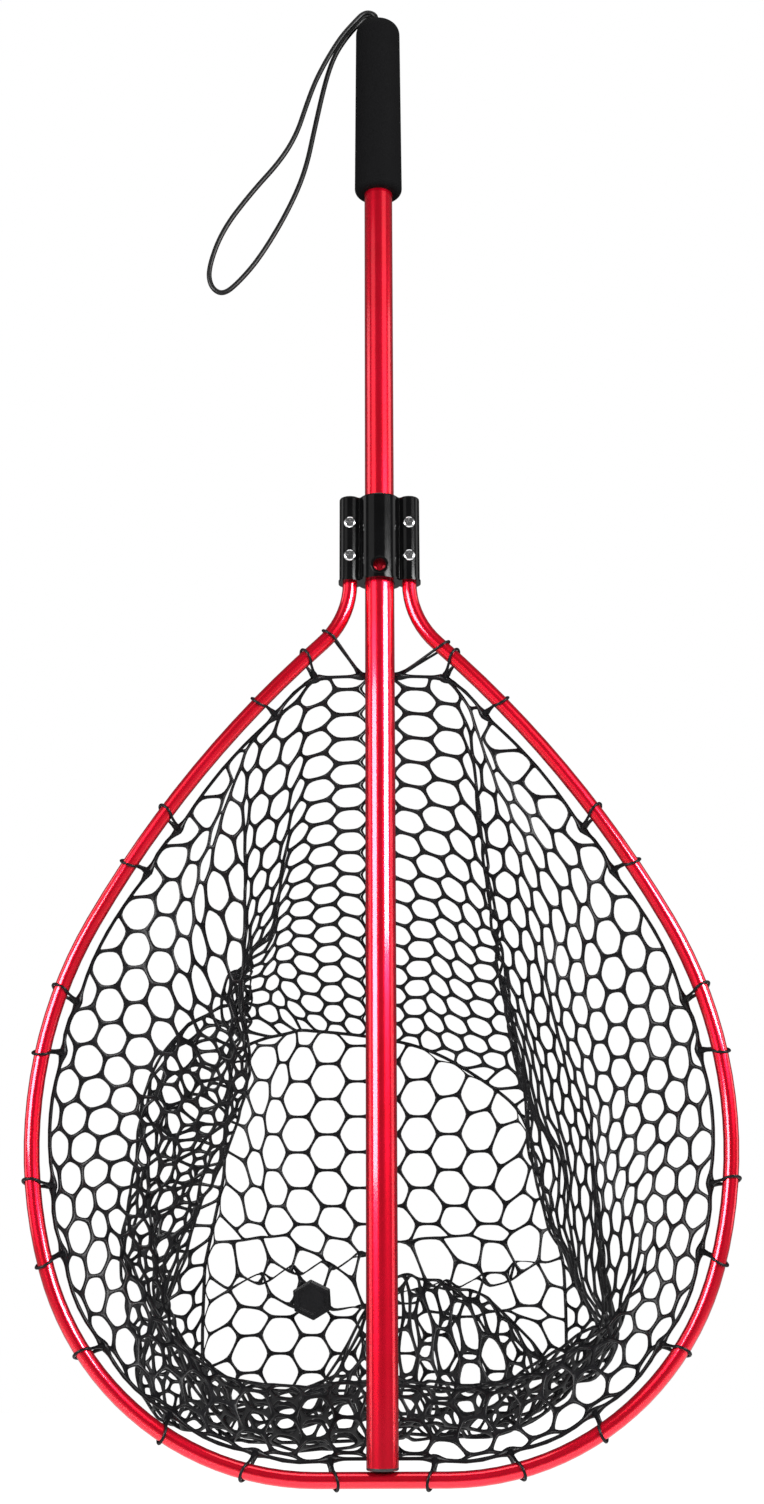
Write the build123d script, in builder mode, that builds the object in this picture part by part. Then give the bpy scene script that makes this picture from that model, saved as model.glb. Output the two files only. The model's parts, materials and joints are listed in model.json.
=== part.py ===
"""Landing net with a slide handle: the hoop and its yoke slide along one long tube.

Units are millimetres. +Z runs up the handle towards the grip, the hoop lies in the XZ plane,
its opening faces -Y and the bag hangs towards +Y. The origin is on the handle's axis,
halfway along the grip. The net is drawn stowed, with the hoop up against the tube's lower end.
"""

from build123d import *
import math
import os

# Handle
TUBE_D = 22.2
TUBE_WALL = 1.2
TUBE_TOP = 64.0
GRIP_BOTTOM = -77.5
GRIP_TOP = 78.0
GRIP_D_BOTTOM = 37.8
GRIP_D_TOP = 35.6
GRIP_EDGE_R_BOTTOM = 5.0
GRIP_EDGE_R_TOP = 9.5
PLUG_FLANGE = 2.0
PLUG_DEPTH = 12.0
LOWER_PLUG_DEPTH = 6.0
LOWER_PLUG_EDGE_R = 1.2
LOWER_PLUG_ABOVE_HOOP = 0.6
LANYARD_D = 4.0
LANYARD_HOLE_D = 9.4
STRAND_OFFSET = 2.25
KNOT_R = 7.5
KNOT_HALF_HEIGHT = 6.5
KNOT_BELOW_PLUG = 5.5

# Hoop: a leg, an outward bend, then three arcs down to a straight run across the bottom
HOOP_D = 11.1
HOOP_WALL = 1.2
LEG_X = 22.5
BEND_R = 65.0
BEND_ANGLE = 47.3
SHOULDER_R = 825.0
SHOULDER_ANGLE = 18.7
SIDE_R = 315.0
SIDE_ANGLE = 45.9
BOTTOM_R = 197.0
BOTTOM_ANGLE = 90 + BEND_ANGLE - SHOULDER_ANGLE - SIDE_ANGLE

# Yoke
YOKE_BOTTOM = -407.5
YOKE_HEIGHT = 68.0
CENTRE_LOBE_R = 16.0
SIDE_LOBE_R = 8.0
SIDE_LOBE_STRETCH = 1.5
WEB_HALF = 6.0
VALLEY_R = 0.8
YOKE_TOP_EDGE_R = 1.6
YOKE_BORE_R = TUBE_D / 2 + 0.4
SOCKET_TOP = YOKE_BOTTOM + 62.0
INSERT_SETBACK = 6.0
LIP_HEIGHT = 1.5
LIP_OUT = 0.7
SCREW_HEIGHTS = (YOKE_BOTTOM + 19.6, YOKE_BOTTOM + 46.2)
SCREW_D = 5.0
SCREW_HOLE_D = 5.3
HEAD_D = 9.4
HEAD_H = 3.0
HEAD_SEAT_D = 10.0
HEAD_EDGE_R = 1.9
HEAD_SEAT_Y = 7.4
RECESS_SPAN = 4.9
RECESS_WIDTH = 1.0
RECESS_DEPTH = 1.8
NUT_FIT = 0.1
THREAD_FIT = 0.02
NUT_AF = 8.0
NUT_H = 3.4
NUT_SEAT_Y = 5.8
SCREW_END_Y = NUT_SEAT_Y + NUT_H
HOLE_Z = YOKE_BOTTOM + 9.5
HOLE_D = 9.6
HOLE_RIM_D = 13.6
HOLE_RIM_PROUD = 0.6
HOLE_RIM_R = 0.5

# Slide bush between the tube and the yoke
BUSH_BOTTOM = YOKE_BOTTOM + 20.0
BUSH_TOP = YOKE_BOTTOM + 60.0
BUSH_WALL = 1.5
RUNNING_FIT = 0.06
END_FLOAT = 0.3

# Snap button near the tube's lower end, which faces +Y
BUTTON_D = 8.6
BUTTON_PROUD = 5.0
BUTTON_ABOVE_END = 15.6
BUTTON_FIT = 0.2
BUTTON_DOME = 1.2
BUTTON_STRAIGHT_PROUD = 2.5
BUTTON_FLANGE_D = 10.8
BUTTON_FLANGE_T = 1.4
BUTTON_FOOT_Y = 6.2
SPRING_WIDTH = 7.0
SPRING_T = 0.7
SPRING_BEND_R = 1.6
SPRING_HEIGHT = 38.0
SPRING_BACK_GAP = 1.3

# Bag
MESH_T = 1.2
MOUTH_Y = 12.6
BAG_DEPTH = 250.0
PANEL_T = 1.8
DISC_AF = 27.0
DISC_PLACE = (-58.0, 123.0)

# Loops down each side of the hoop, measured along it from the end of its bend
LOOP_PLACES = (20, 62, 177, 216, 327, 366, 464, 513, 587, 657, 726, 780)
LOOP_WIDTH = 3.0
LOOP_T = 1.1
LOOP_CLEAR = 0.35
LOOP_REACH = 11.5
LOOP_TIP_R = 1.2
LOOP_LEAN = 0.8

# Half outlines of the bag, as (distance from the middle, height above the hoop's lowest point)
MOUTH_HALF = (
    (22, 580), (70, 553), (150, 460), (205, 365), (233, 246), (212, 118), (150, 50), (60, 14),
)
PANEL_HALF = (
    (16, 322), (62, 318), (112, 296), (138, 250), (142, 190), (134, 122), (104, 78), (40, 60),
)

# The lanyard's route from the knot out to the loop's end and back, as (x, y, z)
LANYARD_ROUTE = (
    (0, -STRAND_OFFSET, TUBE_TOP - PLUG_DEPTH),
    (0, -STRAND_OFFSET, 83),
    (-4.5, -2.3, 88.5),
    (-11.5, -2.4, 88.5),
    (-18.5, -2.5, 80.5),
    (-30, -2.6, 66),
    (-41, -2.8, 46),
    (-51, -3.2, 24),
    (-58, -3.6, 2),
    (-66, -4.2, -26),
    (-79, -4.6, -50),
    (-101, -4.2, -77),
    (-124, -3.2, -110),
    (-135, -1.6, -143),
    (-133, -0.4, -159),
    (-123, 0.4, -165.5),
    (-110, 1.2, -153),
    (-94, 2.4, -131),
    (-74, 3.6, -93),
    (-59, 4.2, -55),
    (-51, 4.0, -12),
    (-43, 3.4, 28),
    (-36, 2.8, 51),
    (-27, 2.6, 67),
    (-17, 2.5, 80),
    (-11, 2.4, 86.8),
    (-4.6, 2.3, 87.4),
    (0, STRAND_OFFSET, 82.5),
    (0, STRAND_OFFSET, TUBE_TOP - PLUG_DEPTH),
)

# Longer than any piece is thick, for cuts that go right through
THROUGH = 120.0

BASE = (Align.CENTER, Align.CENTER, Align.MIN)
HANGING = (Align.CENTER, Align.CENTER, Align.MAX)

os.makedirs("parts", exist_ok=True)


def save(piece, name):
    """Label a finished piece and write it to its own file."""
    piece.label = name
    export_step(piece, f"parts/{name}.step")


def upright(x, y, z, facing=1):
    """An upright plane at a point, which faces +Y, or -Y where facing is -1."""
    return Plane(origin=(x, y, z), z_dir=(0, facing, 0))


# ---------------------------------------------------------------- hoop

with BuildLine(Plane.XZ) as hoop_path:
    leg = Line((LEG_X, SOCKET_TOP), (LEG_X, YOKE_BOTTOM))
    bend = JernArc(leg @ 1, leg % 1, BEND_R, BEND_ANGLE)
    shoulder = JernArc(bend @ 1, bend % 1, SHOULDER_R, -SHOULDER_ANGLE)
    side = JernArc(shoulder @ 1, shoulder % 1, SIDE_R, -SIDE_ANGLE)
    lower = JernArc(side @ 1, side % 1, BOTTOM_R, -BOTTOM_ANGLE)
    across = Line(lower @ 1, (0, (lower @ 1).Z))
    mirror(about=Plane.YZ)

HOOP_AXIS_Z = (lower @ 1).Z
HOOP_BOTTOM = HOOP_AXIS_Z - HOOP_D / 2
TUBE_BOTTOM = HOOP_AXIS_Z + HOOP_D / 2 + PLUG_FLANGE + LOWER_PLUG_ABOVE_HOOP
BUTTON_Z = TUBE_BOTTOM + BUTTON_ABOVE_END

hoop_wire = hoop_path.wires()[0]
leg_end = Plane(origin=hoop_wire @ 0, z_dir=hoop_wire % 0)

with BuildPart() as hoop_tube:
    with BuildSketch(leg_end):
        Circle(HOOP_D / 2)
        Circle(HOOP_D / 2 - HOOP_WALL, mode=Mode.SUBTRACT)
    sweep(path=hoop_wire)
    for height in SCREW_HEIGHTS:
        with Locations(upright(-LEG_X, 0, height), upright(LEG_X, 0, height)):
            Cylinder(SCREW_HOLE_D / 2, THROUGH, mode=Mode.SUBTRACT)
save(hoop_tube.part, "hoop_tube")


def hoop_insert(side_x, name):
    """Plug inside one end of the hoop's tube, crossed by both screws."""
    with BuildPart() as insert:
        with BuildSketch(Plane.XY.offset(YOKE_BOTTOM + INSERT_SETBACK)):
            with Locations((side_x, 0)):
                Circle(HOOP_D / 2 - HOOP_WALL)
        extrude(amount=SOCKET_TOP - YOKE_BOTTOM - INSERT_SETBACK)
        for height in SCREW_HEIGHTS:
            with Locations(upright(side_x, 0, height)):
                Cylinder(SCREW_HOLE_D / 2, THROUGH, mode=Mode.SUBTRACT)
    save(insert.part, name)


hoop_insert(-LEG_X, "hoop_insert_left")
hoop_insert(LEG_X, "hoop_insert_right")


# ---------------------------------------------------------------- handle

with BuildPart() as handle_tube:
    with BuildSketch(Plane.XY.offset(TUBE_BOTTOM)):
        Circle(TUBE_D / 2)
        Circle(TUBE_D / 2 - TUBE_WALL, mode=Mode.SUBTRACT)
    extrude(amount=TUBE_TOP - TUBE_BOTTOM)
    with Locations(upright(0, TUBE_D / 4, BUTTON_Z)):
        Cylinder(BUTTON_D / 2 + BUTTON_FIT, TUBE_D / 2, align=BASE, mode=Mode.SUBTRACT)
save(handle_tube.part, "handle_tube")

with BuildPart() as grip:
    with BuildSketch(Plane.XZ) as grip_profile:
        with BuildLine():
            Polyline(
                (LANYARD_HOLE_D / 2, GRIP_TOP),
                (GRIP_D_TOP / 2, GRIP_TOP),
                (GRIP_D_BOTTOM / 2, GRIP_BOTTOM),
                (TUBE_D / 2, GRIP_BOTTOM),
                (TUBE_D / 2, TUBE_TOP + PLUG_FLANGE),
                (LANYARD_HOLE_D / 2, TUBE_TOP + PLUG_FLANGE),
                close=True,
            )
        make_face()
        fillet(grip_profile.vertices().group_by(Axis.Y)[-1].sort_by(Axis.X)[-1], GRIP_EDGE_R_TOP)
        fillet(grip_profile.vertices().group_by(Axis.Y)[0].sort_by(Axis.X)[-1], GRIP_EDGE_R_BOTTOM)
    revolve(axis=Axis.Z)
save(grip.part, "grip")

with BuildPart() as top_plug:
    with BuildSketch(Plane.XY.offset(TUBE_TOP - PLUG_DEPTH)):
        Circle(TUBE_D / 2 - TUBE_WALL)
        Circle(LANYARD_HOLE_D / 2, mode=Mode.SUBTRACT)
    extrude(amount=PLUG_DEPTH)
    with BuildSketch(Plane.XY.offset(TUBE_TOP)):
        Circle(TUBE_D / 2)
        Circle(LANYARD_HOLE_D / 2, mode=Mode.SUBTRACT)
    extrude(amount=PLUG_FLANGE)
save(top_plug.part, "top_plug")

with BuildPart() as bottom_plug:
    with BuildSketch(Plane.XY.offset(TUBE_BOTTOM)):
        Circle(TUBE_D / 2 - TUBE_WALL)
    extrude(amount=LOWER_PLUG_DEPTH)
    with BuildSketch(Plane.XY.offset(TUBE_BOTTOM - PLUG_FLANGE)):
        Circle(TUBE_D / 2)
    extrude(amount=PLUG_FLANGE)
    fillet(bottom_plug.edges().group_by(Axis.Z)[0], LOWER_PLUG_EDGE_R)
save(bottom_plug.part, "bottom_plug")


# ---------------------------------------------------------------- lanyard

def corner_radii(route):
    """The arc at each inner point of a route: 0.45 of its shorter run over tan(half its turn)."""
    points = [Vector(*p) for p in route]
    radii = []
    for before, here, after in zip(points, points[1:], points[2:]):
        run_in, run_out = here - before, after - here
        half_turn = math.radians(run_in.get_angle(run_out)) / 2
        radii.append(0.45 * min(run_in.length, run_out.length) / math.tan(half_turn))
    return radii


lanyard_radii = corner_radii(LANYARD_ROUTE)
print("lanyard radii", [round(r, 1) for r in lanyard_radii])

with BuildLine() as lanyard_path:
    FilletPolyline(*LANYARD_ROUTE, radius=lanyard_radii)

lanyard_wire = lanyard_path.wires()[0]
print("lanyard length", round(lanyard_wire.length, 1))

with BuildPart() as lanyard:
    with BuildSketch(Plane(origin=lanyard_wire @ 0, z_dir=lanyard_wire % 0)):
        Circle(LANYARD_D / 2)
    sweep(path=lanyard_wire)
print("lanyard volume over section times length",
      round(lanyard.part.volume / (math.pi * LANYARD_D**2 / 4 * lanyard_wire.length), 4))
save(lanyard.part, "lanyard")

plug_underside = TUBE_TOP - PLUG_DEPTH
with BuildPart() as lanyard_knot:
    with BuildSketch(Plane.XZ):
        with Locations((0, plug_underside - KNOT_BELOW_PLUG)):
            Ellipse(KNOT_R, KNOT_HALF_HEIGHT)
        with Locations((-THROUGH / 2, plug_underside)):
            Rectangle(THROUGH, THROUGH, mode=Mode.SUBTRACT)
        with Locations((0, plug_underside + KNOT_R)):
            Rectangle(2 * KNOT_R, 2 * KNOT_R, mode=Mode.SUBTRACT)
    revolve(axis=Axis.Z)
save(lanyard_knot.part, "lanyard_knot")


# ---------------------------------------------------------------- snap button

with BuildPart() as snap_button:
    with BuildSketch(Plane.YZ.shift_origin((0, 0, BUTTON_Z))):
        with BuildLine():
            tip_y = TUBE_D / 2 + BUTTON_PROUD
            flange_y = BUTTON_FOOT_Y + BUTTON_FLANGE_T
            Polyline(
                (tip_y - BUTTON_DOME, BUTTON_D / 4),
                (TUBE_D / 2 + BUTTON_STRAIGHT_PROUD, BUTTON_D / 2),
                (flange_y, BUTTON_D / 2),
                (flange_y, BUTTON_FLANGE_D / 2),
                (BUTTON_FOOT_Y, BUTTON_FLANGE_D / 2),
                (BUTTON_FOOT_Y, 0),
                (tip_y, 0),
            )
            Spline((tip_y, 0), (tip_y - BUTTON_DOME, BUTTON_D / 4), tangents=((0, 1), (-1, 0.9)))
        make_face()
    revolve(axis=Axis((0, 0, BUTTON_Z), (0, 1, 0)))
save(snap_button.part, "snap_button")

with BuildPart() as snap_spring:
    pad_y = BUTTON_FOOT_Y - SPRING_T / 2
    back_y = -(TUBE_D / 2 - TUBE_WALL) + SPRING_BACK_GAP
    spring_top = BUTTON_Z + SPRING_HEIGHT
    with BuildSketch(Plane.YZ):
        with BuildLine():
            FilletPolyline(
                (pad_y, BUTTON_Z - SPRING_WIDTH),
                (pad_y, BUTTON_Z + SPRING_WIDTH + 1),
                (SPRING_WIDTH / 3.5, spring_top),
                (-SPRING_WIDTH / 3.5, spring_top),
                (back_y, BUTTON_Z + SPRING_WIDTH - 1),
                (back_y, BUTTON_Z - SPRING_WIDTH + 2),
                radius=SPRING_BEND_R,
            )
            offset(amount=SPRING_T / 2, kind=Kind.ARC)
        make_face()
    extrude(amount=SPRING_WIDTH / 2, both=True)
save(snap_spring.part, "snap_spring")


# ---------------------------------------------------------------- slide bush

bush_r = TUBE_D / 2 + RUNNING_FIT
with BuildPart() as slide_bush:
    with BuildSketch(Plane.XY.offset(BUSH_BOTTOM)):
        Circle(bush_r + BUSH_WALL)
        Circle(bush_r, mode=Mode.SUBTRACT)
    extrude(amount=BUSH_TOP - BUSH_BOTTOM)
save(slide_bush.part, "slide_bush")


# ---------------------------------------------------------------- yoke

def yoke_outline(grown=0.0):
    """The three lobes seen along the handle. A grown outline keeps its valleys sharp."""
    with BuildSketch(Plane.XY.offset(YOKE_BOTTOM), mode=Mode.PRIVATE) as lobes:
        Circle(CENTRE_LOBE_R + grown)
        with Locations((-LEG_X, 0), (LEG_X, 0)):
            SlotCenterToCenter(2 * SIDE_LOBE_STRETCH, 2 * (SIDE_LOBE_R + grown), rotation=90)
        Rectangle(2 * LEG_X, 2 * (WEB_HALF + grown))
        if not grown:
            valleys = lobes.vertices().filter_by(
                lambda v: WEB_HALF < abs(v.X) < LEG_X and abs(v.Y) > WEB_HALF / 2
            )
            fillet(valleys, VALLEY_R)
    return lobes.sketch


def yoke_half(facing, name):
    """One half of the yoke. facing is -1 for the front half and +1 for the back half."""
    with BuildPart() as half:
        add(yoke_outline())
        extrude(amount=YOKE_HEIGHT)
        fillet(half.faces().sort_by(Axis.Z)[-1].outer_wire().edges(), YOKE_TOP_EDGE_R)
        add(yoke_outline(LIP_OUT))
        extrude(amount=LIP_HEIGHT)

        # button hole with a raised, rounded rim
        with Locations(upright(0, 0, HOLE_Z, facing)):
            Cylinder(HOLE_RIM_D / 2, CENTRE_LOBE_R + HOLE_RIM_PROUD, align=BASE)
        rim = half.faces().filter_by(Plane.XZ).sort_by(Axis.Y)[-1 if facing > 0 else 0]
        fillet(rim.edges(), HOLE_RIM_R)

        # half space, tube bore, bush pocket, hoop sockets, button hole
        with Locations((0, -facing * THROUGH / 2, YOKE_BOTTOM)):
            Box(THROUGH, THROUGH, 2 * THROUGH, mode=Mode.SUBTRACT)
        with Locations((0, 0, YOKE_BOTTOM)):
            Cylinder(YOKE_BORE_R, 2 * THROUGH, mode=Mode.SUBTRACT)
        with Locations((0, 0, (BUSH_BOTTOM + BUSH_TOP) / 2)):
            Cylinder(bush_r + BUSH_WALL + RUNNING_FIT, BUSH_TOP - BUSH_BOTTOM + 2 * END_FLOAT,
                     mode=Mode.SUBTRACT)
        with Locations((-LEG_X, 0, SOCKET_TOP), (LEG_X, 0, SOCKET_TOP)):
            Cylinder(HOOP_D / 2, SOCKET_TOP - YOKE_BOTTOM, align=HANGING, mode=Mode.SUBTRACT)
        with Locations(upright(0, 0, HOLE_Z, facing)):
            Cylinder(HOLE_D / 2, THROUGH, align=BASE, mode=Mode.SUBTRACT)

        # screw holes, with a round seat in front and a hexagonal one behind
        for height in SCREW_HEIGHTS:
            for x in (-LEG_X, LEG_X):
                with Locations(upright(x, 0, height, facing)):
                    Cylinder(SCREW_HOLE_D / 2, THROUGH, mode=Mode.SUBTRACT)
                if facing < 0:
                    with BuildSketch(upright(x, -HEAD_SEAT_Y, height, facing)):
                        Circle(HEAD_SEAT_D / 2)
                else:
                    with BuildSketch(upright(x, NUT_SEAT_Y, height, facing)):
                        RegularPolygon(NUT_AF / 2 + NUT_FIT, 6, major_radius=False)
                extrude(amount=SIDE_LOBE_R, mode=Mode.SUBTRACT)
    save(half.part, name)


yoke_half(-1, "yoke_front")
yoke_half(1, "yoke_back")


def yoke_screw(x, height, name):
    """Pan-head screw with a cross recess, its head towards -Y."""
    with BuildPart() as screw:
        seat = upright(x, -HEAD_SEAT_Y, height, -1)
        with Locations(seat):
            Cylinder(HEAD_D / 2, HEAD_H, align=BASE)
        fillet(screw.edges().sort_by(Axis.Y)[0], HEAD_EDGE_R)
        with Locations(seat):
            Cylinder(SCREW_D / 2, HEAD_SEAT_Y + SCREW_END_Y, align=HANGING)
        with BuildSketch(seat.offset(HEAD_H)):
            Rectangle(RECESS_SPAN, RECESS_WIDTH)
            Rectangle(RECESS_WIDTH, RECESS_SPAN)
        extrude(amount=-RECESS_DEPTH, mode=Mode.SUBTRACT)
    save(screw.part, name)


def yoke_nut(x, height, name):
    """Hexagonal nut in the yoke's back half, round the screw's end."""
    with BuildPart() as nut:
        with BuildSketch(upright(x, NUT_SEAT_Y, height)):
            RegularPolygon(NUT_AF / 2, 6, major_radius=False)
            Circle(SCREW_D / 2 + THREAD_FIT, mode=Mode.SUBTRACT)
        extrude(amount=NUT_H)
    save(nut.part, name)


for row, height in zip(("lower", "upper"), SCREW_HEIGHTS):
    for hand, x in (("left", -LEG_X), ("right", LEG_X)):
        yoke_screw(x, height, f"yoke_screw_{row}_{hand}")
        yoke_nut(x, height, f"yoke_nut_{row}_{hand}")


# ---------------------------------------------------------------- bag

def outline(half, plane, inset=0.0):
    """Closed symmetric outline from its right half, drawn on an upright plane."""
    right = [(x, HOOP_BOTTOM + height) for x, height in half]
    left = [(-x, z) for x, z in reversed(right)]
    with BuildSketch(plane, mode=Mode.PRIVATE) as drawn:
        with BuildLine():
            Polyline(*right, *left, close=True)
        make_face()
        if inset:
            offset(amount=-inset, kind=Kind.INTERSECTION, mode=Mode.REPLACE)
    return drawn.sketch


mouth_plane = Plane.XZ.offset(-MOUTH_Y)
panel_plane = Plane.XZ.offset(-BAG_DEPTH)

with BuildPart() as net_wall:
    loft([outline(MOUTH_HALF, mouth_plane).faces()[0],
          outline(PANEL_HALF, panel_plane).faces()[0]], ruled=True)
    loft([outline(MOUTH_HALF, mouth_plane, MESH_T).faces()[0],
          outline(PANEL_HALF, panel_plane, MESH_T).faces()[0]], ruled=True, mode=Mode.SUBTRACT)
save(net_wall.part, "net_wall")

with BuildPart() as net_panel:
    extrude(outline(PANEL_HALF, panel_plane.offset(-PANEL_T)), amount=PANEL_T)
save(net_panel.part, "net_panel")

with BuildPart() as panel_disc:
    with BuildSketch(Plane.XZ.offset(-BAG_DEPTH)):
        with Locations((DISC_PLACE[0], HOOP_BOTTOM + DISC_PLACE[1])):
            RegularPolygon(DISC_AF / 2, 6, major_radius=False)
    extrude(amount=PANEL_T)
save(panel_disc.part, "panel_disc")


def rim_loop(place):
    """One flat rubber loop round the hoop's tube, which reaches in and back to the bag."""
    centre = hoop_wire @ place
    along = hoop_wire % place
    inward = Vector(-along.Z, 0, along.X)
    towards_bag = (inward * LOOP_LEAN + Vector(0, 1, 0)).normalized()
    inner_r = HOOP_D / 2 + LOOP_CLEAR
    with BuildPart(mode=Mode.PRIVATE) as loop:
        lower_face = centre - along * (LOOP_WIDTH / 2)
        with BuildSketch(Plane(origin=lower_face, x_dir=towards_bag, z_dir=along)):
            for radius, mode in ((inner_r + LOOP_T, Mode.ADD), (inner_r, Mode.SUBTRACT)):
                with BuildSketch(mode=Mode.PRIVATE) as tear:
                    Circle(radius)
                    with Locations((LOOP_REACH, 0)):
                        Circle(radius - inner_r + LOOP_TIP_R)
                    make_hull()
                add(tear.sketch, mode=mode)
        extrude(amount=LOOP_WIDTH)
    return loop.part


with BuildPart() as rim_loops:
    for from_bend in LOOP_PLACES:
        share = (leg.length + bend.length + from_bend) / hoop_wire.length
        add(rim_loop(share))
        add(rim_loop(1 - share))
save(rim_loops.part, "rim_loops")

print("hoop bottom", round(HOOP_BOTTOM, 2), "tube bottom", round(TUBE_BOTTOM, 2),
      "slide travel", round(HOLE_Z - BUTTON_Z, 2))
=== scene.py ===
"""Looks of the landing net: tubes, yoke, grip and lanyard, and a moulded mesh bag that hangs
from the hoop. Units are metres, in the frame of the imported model: +Z up the handle, the hoop
opens towards -Y, the bag hangs towards +Y, and the origin is halfway along the grip.
"""

import bpy
import bmesh
import json
import math
import numpy as np
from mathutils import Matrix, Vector, geometry


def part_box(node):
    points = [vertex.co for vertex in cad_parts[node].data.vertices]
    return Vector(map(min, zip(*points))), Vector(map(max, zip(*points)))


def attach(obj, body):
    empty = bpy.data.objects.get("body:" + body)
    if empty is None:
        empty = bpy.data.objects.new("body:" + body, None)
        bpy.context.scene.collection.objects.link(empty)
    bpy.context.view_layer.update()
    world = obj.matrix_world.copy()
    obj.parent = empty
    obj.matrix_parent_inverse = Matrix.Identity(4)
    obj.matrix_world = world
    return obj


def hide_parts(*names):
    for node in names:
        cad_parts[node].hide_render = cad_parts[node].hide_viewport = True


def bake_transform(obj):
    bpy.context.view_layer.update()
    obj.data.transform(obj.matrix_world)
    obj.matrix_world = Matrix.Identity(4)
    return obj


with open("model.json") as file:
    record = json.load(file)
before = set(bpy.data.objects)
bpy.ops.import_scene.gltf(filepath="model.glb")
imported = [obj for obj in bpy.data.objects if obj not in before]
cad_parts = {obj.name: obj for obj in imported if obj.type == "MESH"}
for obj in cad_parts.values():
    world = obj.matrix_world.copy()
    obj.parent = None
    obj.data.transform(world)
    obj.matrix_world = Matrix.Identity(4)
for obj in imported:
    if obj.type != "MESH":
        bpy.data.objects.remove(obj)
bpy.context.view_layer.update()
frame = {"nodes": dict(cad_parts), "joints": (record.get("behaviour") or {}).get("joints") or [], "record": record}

SCENE = bpy.context.scene

# ---------------------------------------------------------------- sizes

FLOOR_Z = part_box("hoop_tube")[0].z
HOOP_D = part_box("hoop_tube")[1].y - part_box("hoop_tube")[0].y
YOKE_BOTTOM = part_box("yoke_front")[0].z
HEAD_TRAVEL = next(j for j in frame["joints"] if j["name"] == "head_slide")["range_m"][1]
LEG_X = (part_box("hoop_insert_right")[0].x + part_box("hoop_insert_right")[1].x) / 2

# The camera stands in front of the hoop, near its foot, and looks up. Angles are in degrees.
CAMERA_BACK = 1.434
CAMERA_HEIGHT = 0.131
CAMERA_TILT = 105
CAMERA_ROLL = 0.2
CAMERA_LENS = 47.9

# The hoop's line from the yoke: an outward bend, then three arcs down to the straight bottom,
# each as (radius, turn in degrees), where a turn outwards is positive
HOOP_ARCS = ((0.065, 47.3), (0.825, -18.7), (0.315, -45.9), (0.197, -72.7))

# Loops down each side of the hoop, measured along it from the end of its bend
LOOP_PLACES = (0.020, 0.062, 0.177, 0.216, 0.327, 0.366, 0.464, 0.513, 0.587, 0.657, 0.726, 0.780)

# The lanyard's route from the knot out to the loop's end and back
LANYARD_D = 0.004
LANYARD_ROUTE = (
    (0, -0.00225, 0.052), (0, -0.00225, 0.083), (-0.0045, -0.0023, 0.0885),
    (-0.0115, -0.0024, 0.0885), (-0.0185, -0.0025, 0.0805), (-0.030, -0.0026, 0.066),
    (-0.041, -0.0028, 0.046), (-0.051, -0.0032, 0.024), (-0.058, -0.0036, 0.002),
    (-0.066, -0.0042, -0.026), (-0.079, -0.0046, -0.050), (-0.101, -0.0042, -0.077),
    (-0.124, -0.0032, -0.110), (-0.135, -0.0016, -0.143), (-0.133, -0.0004, -0.159),
    (-0.123, 0.0004, -0.1655), (-0.110, 0.0012, -0.153), (-0.094, 0.0024, -0.131),
    (-0.074, 0.0036, -0.093), (-0.059, 0.0042, -0.055), (-0.051, 0.0040, -0.012),
    (-0.043, 0.0034, 0.028), (-0.036, 0.0028, 0.051), (-0.027, 0.0026, 0.067),
    (-0.017, 0.0025, 0.080), (-0.011, 0.0024, 0.0868), (-0.0046, 0.0023, 0.0874),
    (0, 0.00225, 0.0825), (0, 0.00225, 0.052),
)


# ---------------------------------------------------------------- camera and cord

def make_camera():
    camera = bpy.data.objects.new("camera", bpy.data.cameras.new("camera"))
    SCENE.collection.objects.link(camera)
    camera.location = (0, -CAMERA_BACK, FLOOR_Z + CAMERA_HEIGHT)
    camera.rotation_euler = (math.radians(CAMERA_TILT), math.radians(CAMERA_ROLL), 0)
    camera.data.lens = CAMERA_LENS
    SCENE.camera = camera


def make_lanyard():
    """One smooth cord out of the grip's end and back into it."""
    curve = bpy.data.curves.new("lanyard_cord", "CURVE")
    curve.dimensions = "3D"
    spline = curve.splines.new("NURBS")
    spline.points.add(len(LANYARD_ROUTE) - 1)
    for point, place in zip(spline.points, LANYARD_ROUTE):
        point.co = (*place, 1)
        point.radius = LANYARD_D / 2
    spline.order_u = 3
    spline.use_endpoint_u = True
    spline.resolution_u = 12
    curve.bevel_depth = 1.0
    curve.bevel_resolution = 5
    cord = bpy.data.objects.new("lanyard_cord", curve)
    SCENE.collection.objects.link(cord)
    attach(cord, "handle")
    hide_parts("lanyard")
    return cord


make_camera()
lanyard = make_lanyard()


# ---------------------------------------------------------------- materials

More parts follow.
